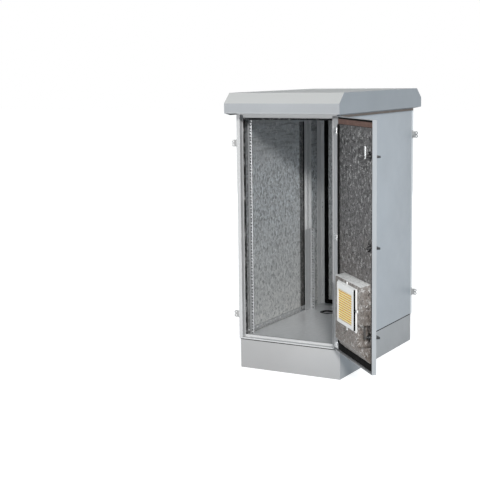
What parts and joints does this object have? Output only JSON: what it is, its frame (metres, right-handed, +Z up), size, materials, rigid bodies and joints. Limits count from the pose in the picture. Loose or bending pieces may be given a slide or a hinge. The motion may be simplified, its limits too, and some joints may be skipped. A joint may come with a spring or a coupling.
{
  "type": "roadside utility cabinet",
  "caption": "Free-standing outdoor equipment cabinet on a plinth, with a ventilated hood, a padded interior with rack rails and a hinged front door that carries a filter box.",
  "frame": {"origin": "Centre of the plinth's footprint, on the ground.", "axes": "+X is to the right when facing the front, the front faces -Y, and +Z is up. The door is modelled fully open."},
  "size_m": [0.9259, 1.347, 1.364],
  "materials": {
    "body_paint": "light grey powder coat, satin",
    "plinth_paint": "light grey powder coat, satin",
    "zinc_sheet": "galvanised sheet, dull",
    "rail_zinc": "aluminium-zinc coated, satin",
    "lining_foil": "foam pad faced with soft metal foil",
    "box_foil": "sheet metal faced with foil",
    "seal_rubber": "black cellular rubber, matte",
    "strip_foam": "red-brown foam, matte",
    "grille_plastic": "moulded plastic, light grey",
    "filter_fleece": "yellow filter fleece",
    "lock_black": "black, satin",
    "bright_zinc": "bright zinc plate"
  },
  "bodies": {
    "cabinet": {"cable_grommet": "seal_rubber", "depth_rail_left_high": "rail_zinc", "depth_rail_left_low": "rail_zinc", "depth_rail_right_high": "rail_zinc", "depth_rail_right_low": "rail_zinc", "floor_plate": "zinc_sheet", "frame_seal": "seal_rubber", "front_head": "body_paint", "front_sill": "body_paint", "hinge_pins": "bright_zinc", "hinge_post_halves": "bright_zinc", "liner_left": "lining_foil", "liner_right": "lining_foil", "lugs_left": "body_paint", "lugs_right": "body_paint", "plinth_feet": "zinc_sheet", "plinth_front": "plinth_paint", "plinth_left": "plinth_paint", "plinth_rear": "plinth_paint", "plinth_right": "plinth_paint", "post_front_left": "body_paint", "post_front_right": "body_paint", "post_rear_left": "body_paint", "post_rear_right": "body_paint", "rail_front_left": "rail_zinc", "rail_front_right": "rail_zinc", "rail_rear_left": "rail_zinc", "rail_rear_right": "rail_zinc", "rear_gasket": "seal_rubber", "rear_head": "body_paint", "rear_liner": "lining_foil", "rear_panel": "body_paint", "rear_screws": "bright_zinc", "rear_sill": "zinc_sheet", "roof_deck": "zinc_sheet", "roof_hood": "body_paint", "roof_spacers": "zinc_sheet", "side_panel_left": "body_paint", "side_panel_right": "body_paint", "strut_left": "rail_zinc", "strut_right": "rail_zinc"},
    "door": {"door_pan": "body_paint", "door_stiffener": "body_paint", "door_gasket": "seal_rubber", "door_liner": "lining_foil", "door_top_strip": "strip_foam", "vent_sill": "body_paint", "filter_box": "box_foil", "filter_base": "box_foil", "filter_grille": "grille_plastic", "filter_mat": "filter_fleece", "filter_clips": "grille_plastic", "lock_housings": "lock_black", "hinge_door_halves": "bright_zinc"},
    "lock_bottom": {"lock_wing_bottom": "lock_black", "lock_cam_bottom": "bright_zinc"},
    "lock_middle": {"lock_wing_middle": "lock_black", "lock_cam_middle": "bright_zinc"},
    "lock_top": {"lock_wing_top": "lock_black", "lock_cam_top": "bright_zinc"}
  },
  "joints": [
    {"name": "door_swing", "type": "hinge", "parent": "cabinet", "child": "door", "pos_m": [0.25675, -0.461, 0.7], "axis": [0, 0, 1], "range_deg": [-134.4, 0]},
    {"name": "lock_bottom_turn", "type": "hinge", "parent": "door", "child": "lock_bottom", "pos_m": [0.58139, -0.79251, 0.31425], "axis": [0.7145, 0.6997, 0], "range_deg": [0, 90]},
    {"name": "lock_middle_turn", "type": "hinge", "parent": "door", "child": "lock_middle", "pos_m": [0.58139, -0.79251, 0.70725], "axis": [0.7145, 0.6997, 0], "range_deg": [0, 90]},
    {"name": "lock_top_turn", "type": "hinge", "parent": "door", "child": "lock_top", "pos_m": [0.58139, -0.79251, 1.10025], "axis": [0.7145, 0.6997, 0], "range_deg": [0, 90]}
  ]
}
